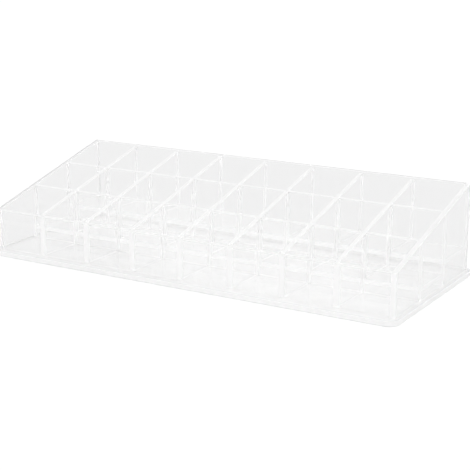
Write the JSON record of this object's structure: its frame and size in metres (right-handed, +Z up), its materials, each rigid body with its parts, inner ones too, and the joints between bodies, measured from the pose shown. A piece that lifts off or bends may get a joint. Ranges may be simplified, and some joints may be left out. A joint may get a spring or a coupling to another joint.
{
  "type": "vanity organizer",
  "caption": "Clear stepped rack with rows of square open compartments under a sloped rim, on a thin base with rounded corners, for upright cosmetics",
  "frame": {"origin": "middle of the base plate's underside, where the rack stands", "axes": "+X along the columns, towards the right as seen from the front; +Y towards the high rear wall; +Z up"},
  "size_m": [0.223, 0.094, 0.045],
  "materials": {
    "base_acrylic": "clear colourless acrylic, polished",
    "wall_acrylic": "clear colourless acrylic, polished",
    "divider_acrylic": "clear colourless acrylic, polished",
    "floor_acrylic": "clear colourless acrylic, polished"
  },
  "bodies": {
    "root": {"base_plate": "base_acrylic", "left_side_wall": "wall_acrylic", "right_side_wall": "wall_acrylic", "front_wall": "wall_acrylic", "rear_wall": "wall_acrylic", "front_row_divider": "divider_acrylic", "rear_row_divider": "divider_acrylic", "middle_step_floor": "floor_acrylic", "rear_step_floor": "floor_acrylic", "column_divider_1": "divider_acrylic", "column_divider_2": "divider_acrylic", "column_divider_3": "divider_acrylic", "column_divider_4": "divider_acrylic", "column_divider_5": "divider_acrylic", "column_divider_6": "divider_acrylic", "column_divider_7": "divider_acrylic"}
  },
  "joints": []
}
